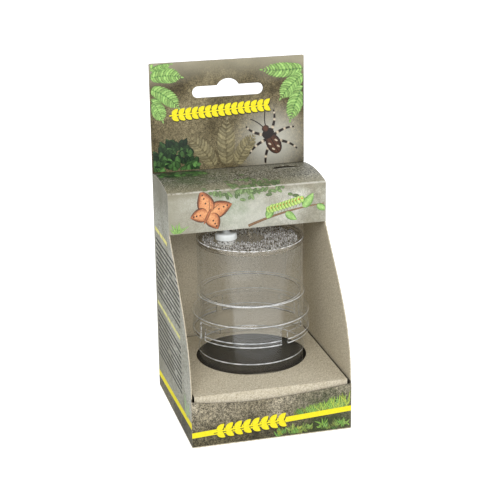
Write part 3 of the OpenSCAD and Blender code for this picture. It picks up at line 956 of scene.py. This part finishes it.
def build_tub():
    """The tub's clear pieces from floor to lid, each a turned outline, and its stopper."""
    # Painted light for the edges: near-white highlight lines, dark shade lines, glints on the lid and in the
    # vent holes, light and dark spots on the slot walls
    bright = painted_edge_light("edge_painted_highlight", srgb(190, 194, 196), srgb(244, 246, 247), 0.72)
    glint = painted_edge_light("lid_painted_glints", srgb(140, 138, 132), srgb(252, 253, 253), 0.75, 420.0)
    dim = painted_edge_light("edge_painted_shade", srgb(52, 50, 46), srgb(96, 94, 88), 0.6)
    slot = painted_edge_light("slot_painted_light", srgb(110, 110, 106), srgb(236, 239, 240), 0.55, 500.0)
    clear = [clear_plastic("clear_plastic", 0.045, 0.55, (200, 202, 200)), bright, dim, slot]
    cup = [clear_plastic("cup_plastic", 0.035, 0.35, (186, 186, 182)), bright, dim, slot]
    vented = [clear_plastic("vented_plastic", 0.2, 0.7, (142, 134, 118), (184, 178, 164)), glint, dim,
              painted_edge_light("vent_painted_glints", srgb(72, 66, 56), srgb(255, 255, 255), 0.85, 800.0)]
    foot, base = FLOOR_Z, FLOOR_Z + FLOOR_T
    rim, ledge, bead = NECK_R - WALL, SHOULDER - LEDGE_DROP, TUB_R + BEAD_OUT
    outline = [[0, foot], [TUB_R, foot], [TUB_R, foot + LINE], [TUB_R, CUP_BEAD], [bead, CUP_BEAD],
               [bead, CUP_BEAD + BEAD_H], [TUB_R, CUP_BEAD + BEAD_H], [TUB_R, SHOULDER], [NECK_R, SHOULDER],
               [NECK_R, NECK_TOP - LINE], [NECK_R, NECK_TOP], [rim, NECK_TOP], [rim, NECK_TOP - LINE],
               [rim, ledge], [IN_R, ledge], [IN_R, base], [0, base]]
    lug_low = RUN_LOW + 0.4
    lugs = [sector(TUB_R - 0.3, SKIRT_R - 0.3, lug_low, lug_low + LUG_H,
                   LUG_AT + 90 * k - LUG_W / 2, LUG_AT + 90 * k + LUG_W / 2) for k in range(4)]
    turned("lower_cup_clear", outline, 0.3, cup, "cup", "lower_cup", lugs=lugs,
           bands=[(NECK_TOP - LINE, NECK_TOP + 1), (CUP_BEAD, CUP_BEAD + BEAD_H), (foot, foot + LINE)])

    groove, seat = SKIRT_R - GROOVE, SHOULDER + 0.05
    outline = [[IN_R, seat], [SKIRT_IN, seat], [SKIRT_IN, SKIRT_LOW + HEM], [SKIRT_IN, SKIRT_LOW],
               [SKIRT_R, SKIRT_LOW], [SKIRT_R, SKIRT_LOW + HEM], [SKIRT_R, SKIRT_BEAD - LINE],
               [SKIRT_R, SKIRT_BEAD], [groove, SKIRT_BEAD], [groove, SHOULDER], [SKIRT_R, SHOULDER],
               [SKIRT_R, SKIRT_TOP - LINE], [SKIRT_R, SKIRT_TOP], [STEP_R, SKIRT_TOP],
               [STEP_R, STEP_Z - LINE], [STEP_R, STEP_Z], [TUB_R, STEP_Z], [TUB_R, LID_LOW], [IN_R, LID_LOW]]
    # A slot is a level run and an upright leg; the leg's cutter is a hair off the run's, so no faces meet
    run_in, leg_in, run_out, leg_out = TUB_R + 0.9, TUB_R + 0.91, SKIRT_R + PAST, SKIRT_R + 1.01
    cutters = []
    for k in range(4):
        end = LUG_AT + 90 * k + LUG_W / 2 + SLOT_GAP
        start = end - (TURN + LUG_W + 2 * SLOT_GAP)
        leg = start + LUG_W + 2 * SLOT_GAP
        cutters.append([sector(run_in, run_out, RUN_LOW, RUN_LOW + RUN_H, start, end, 16)])
        cutters.append([sector(leg_in, leg_out, SKIRT_LOW - PAST, RUN_LOW + 1.5, start + 0.3, leg - 0.3, 8)])
    turned("upper_shell_clear", outline, 0.25, clear, "tub", "upper_shell", cutters, True,
           [(SKIRT_LOW, SKIRT_LOW + HEM), (SKIRT_BEAD - LINE, SKIRT_BEAD), (SKIRT_TOP - LINE, SKIRT_TOP),
            (STEP_Z - LINE, STEP_Z)])

    lip, plug_out, plug_in = TUB_R + LIP_OUT, IN_R - PLUG_OUT, IN_R - PLUG_IN
    under = LID_TOP - LID_T
    outline = [[plug_in, LID_LOW - PLUG_H], [plug_out, LID_LOW - PLUG_H], [plug_out, LID_LOW], [lip, LID_LOW],
               [lip, LID_LIP - LIP_LINE], [lip, LID_LIP], [IN_R, LID_LIP], [IN_R, LID_LIP - LIP_LINE],
               [IN_R, under], [plug_in, under]]
    turned("lid_ring_clear", outline, 0.2, vented, "tub", "lid_ring", bands=[(LID_LIP - LIP_LINE, LID_LIP)])

    plate_r = IN_R - 0.02
    outline = [[0, under], [plate_r, under], [plate_r, LID_TOP], [0, LID_TOP]]
    turned("vent_plate_clear", outline, 0.15, vented, "tub", "vent_plate", [vent_pegs()], holes=IN_R - 1)
    outline = [[0, LID_TOP], [POST_R, LID_TOP], [POST_R, LID_TOP + POST_H], [0, LID_TOP + POST_H]]
    turned("centre_post_clear", outline, 0.3, vented, "tub", "centre_post")
    build_stopper()


def build_stopper():
    """Milky stopper: plug, disc and stem in one turned piece."""
    plug, low, top = STOP_R - STOP_GAP, LID_TOP - STOP_DEEP, LID_TOP + STEM_TOP
    outline = [[0, low], [plug, low], [plug, LID_TOP], [STOP_R, LID_TOP], [STOP_R, LID_TOP + STOP_H],
               [STEM_R, LID_TOP + STOP_H], [STEM_R, top], [0, top]]
    smooth = filleted(outline, 1.7, 8)
    smooth = smooth[smooth[:, 0] > 0.9]
    points, faces = lathe_solid(np.concatenate([[[0, low]], smooth, [[0, top]]]), 64, TUB_X + STOP_DX,
                                TUB_Y + STOP_DY)
    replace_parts(put("feeding_stopper_milky", points, faces, milky_plastic(), "stopper"),
                "feeding_stopper")


def vent_pegs():
    """Cutters of the vent plate: holes on a turned square grid, left out round hub, rim and stopper."""
    n = int(np.ceil(IN_R / VENT_PITCH))
    i, j = np.meshgrid(np.arange(-n, n + 1), np.arange(-n, n + 1), indexing="ij")
    c, s = np.cos(np.radians(VENT_TURN)), np.sin(np.radians(VENT_TURN))
    x, y = VENT_PITCH * (i * c - j * s), VENT_PITCH * (i * s + j * c)
    r = np.hypot(x, y)
    keep = (r > HUB_R) & (r < IN_R - RIM_CLEAR) & (np.hypot(x - STOP_DX, y - STOP_DY) > STOP_R + STOP_CLEAR)
    low, high = LID_TOP - LID_T - PAST, LID_TOP + PAST
    pegs = [peg(TUB_X + a, TUB_Y + b, VENT_R, low, high, 10) for a, b in zip(x[keep], y[keep])]
    return pegs + [peg(TUB_X + STOP_DX, TUB_Y + STOP_DY, STOP_R - 1, low, high, 48)]


# Stage

def build_stage():
    """White floor and backdrop that stay pale to the eye and keep the object's shadow, and soft lights."""
    s = Shader("stage_white")
    s.surface(Base_Color=(0.9, 0.9, 0.9), Roughness=0.9)
    paths = s.node("LightPath").outputs
    seen = s.math("MAXIMUM", paths["Is Glossy Ray"], paths["Is Transmission Ray"])
    seen = s.math("MAXIMUM", paths["Is Camera Ray"], seen)
    glow = s.node("Emission", {"Color": (1, 1, 1), "Strength": STAGE_GLOW})
    nothing = s.node("Emission", {"Color": (0, 0, 0), "Strength": 0.0})
    extra = s.node("MixShader", {"Fac": seen, 1: nothing.outputs[0], 2: glow.outputs[0]})
    both = s.node("AddShader", {0: s.bsdf.outputs[0], 1: extra.outputs[0]})
    s.set(s.output.inputs["Surface"], both.outputs[0])
    t = np.linspace(0, np.pi / 2, 12)
    depth = np.concatenate([[-2.0, 0.6], 0.9 + 0.6 * np.sin(t), [1.5]])
    height = np.concatenate([[0.0, 0.0], 0.6 - 0.6 * np.cos(t), [3.0]])
    points = np.array([[x, y, z] for x in (-3.0, 3.0) for y, z in zip(depth, height)])
    n = len(depth)
    mesh = bpy.data.meshes.new("stage")
    mesh.from_pydata(points.tolist(), [], [[i, i + n, i + n + 1, i + 1] for i in range(n - 1)])
    mesh.shade_smooth()
    mesh.materials.append(s.material)
    floor = shown("stage", mesh)
    for name, (place, size, power) in LIGHTS.items():
        data = bpy.data.lights.new(name, "AREA")
        data.shape = "RECTANGLE"
        data.size, data.size_y = size
        data.energy = power
        z = np.array(place, float) - np.array(LIGHT_AIM, float)
        z /= np.linalg.norm(z)
        x = np.cross([0, 0, 1.0], z)
        x /= np.linalg.norm(x)
        shown(name, data).matrix_world = pose(np.stack([x, np.cross(z, x), z], axis=1), place)
    world = bpy.data.worlds.new("world")
    world.use_nodes = True
    sky = world.node_tree.nodes["Background"].inputs
    sky["Color"].default_value = (1, 1, 1, 1)
    sky["Strength"].default_value = WORLD_LIGHT
    bpy.context.scene.world = world


view_camera()
finish_cad()
print_motifs()
build_tub()
build_stage()
bpy.context.scene.view_settings.view_transform = "Standard"
bpy.context.scene.cycles.transparent_max_bounces = 32
